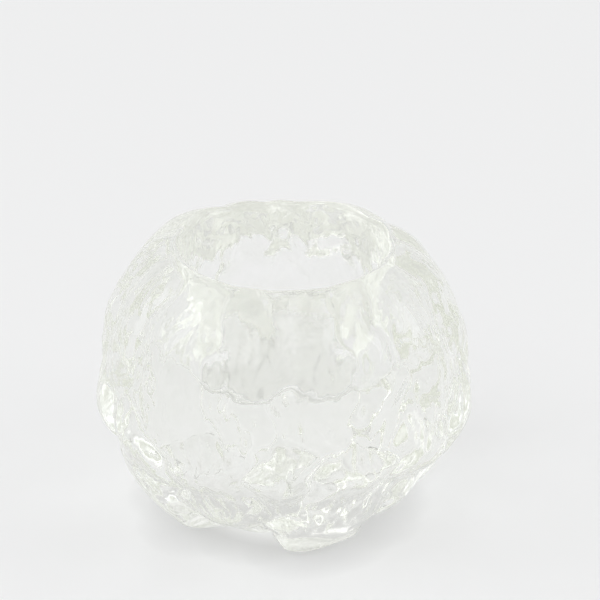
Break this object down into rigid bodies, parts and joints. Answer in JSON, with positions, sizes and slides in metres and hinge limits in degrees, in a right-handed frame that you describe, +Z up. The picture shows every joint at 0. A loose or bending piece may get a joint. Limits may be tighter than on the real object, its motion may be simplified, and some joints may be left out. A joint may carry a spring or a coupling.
{
  "type": "tealight holder",
  "caption": "Squat ball-shaped tealight holder in thick clear pressed glass, with tiers of crinkled petals outside, a scalloped lip and a smooth round well.",
  "frame": {"origin": "centre of the flat underside of the foot, on the axis of the well", "axes": "+Z up out of the well, -Y towards the front, +X to the right seen from the front"},
  "size_m": [0.0877, 0.0864, 0.0677],
  "materials": {
    "clear_glass": "fire-polished clear glass with a faint green tint and a crinkled ice-like relief"
  },
  "bodies": {
    "root": {"glass_body": "clear_glass"}
  },
  "joints": []
}
